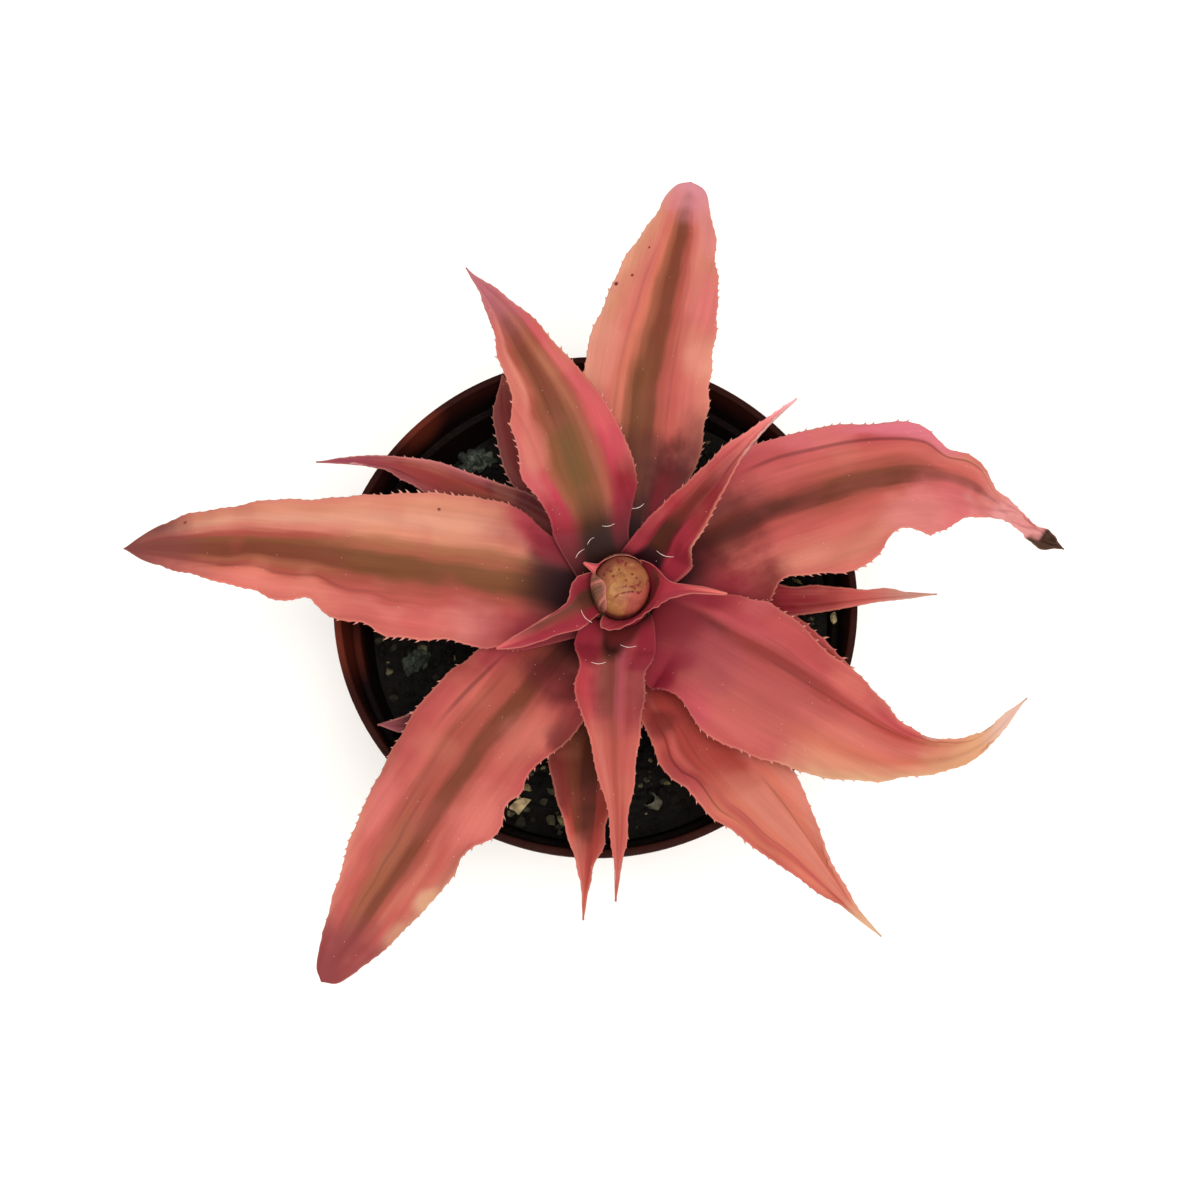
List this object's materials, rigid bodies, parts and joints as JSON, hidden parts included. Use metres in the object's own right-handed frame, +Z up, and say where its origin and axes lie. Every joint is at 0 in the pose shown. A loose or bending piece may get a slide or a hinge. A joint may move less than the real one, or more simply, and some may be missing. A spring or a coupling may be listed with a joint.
{
  "type": "potted earth star bromeliad",
  "caption": "Earth star bromeliad: a flat rosette of wavy, fine-toothed pink leaves with brown midrib bands round an ochre bud, growing in a round plastic nursery pot.",
  "frame": {"origin": "centre of the pot's flat underside, on the surface it stands on", "axes": "+Z up, along the pot's axis; +X towards the long leaf with the withered tip, the part's longest way; +Y to the back"},
  "size_m": [0.1892, 0.1627, 0.1245],
  "materials": {
    "pot_plastic": "satin",
    "potting_mix": "matte",
    "stem_bark": "matte",
    "leaf_salmon": "satin",
    "leaf_deep_pink": "satin",
    "leaf_shaded": "satin",
    "bud_scale": "satin",
    "grit": "matte",
    "bark": "matte"
  },
  "bodies": {
    "root": {"pot": "pot_plastic", "potting_mix": "potting_mix", "stem": "stem_bark", "crown_bud": "bud_scale", "leaf_low_southwest": "leaf_shaded", "leaf_low_east": "leaf_deep_pink", "leaf_low_north": "leaf_shaded", "leaf_south_southwest": "leaf_shaded", "leaf_east": "leaf_deep_pink", "leaf_southeast": "leaf_salmon", "leaf_west_northwest": "leaf_shaded", "leaf_east_northeast": "leaf_salmon", "leaf_southwest": "leaf_salmon", "leaf_north": "leaf_salmon", "leaf_west": "leaf_salmon", "leaf_east_southeast": "leaf_salmon", "leaf_north_northwest": "leaf_salmon", "leaf_south": "leaf_salmon", "leaf_northeast": "leaf_deep_pink", "young_leaf_east": "leaf_deep_pink", "young_leaf_southwest": "leaf_deep_pink", "young_leaf_northwest": "leaf_deep_pink", "grit_clump_northwest": "grit", "grit_clump_west": "grit", "bark_chip_south": "bark", "bark_curl_south": "bark", "bark_chip_east": "bark"}
  },
  "joints": []
}
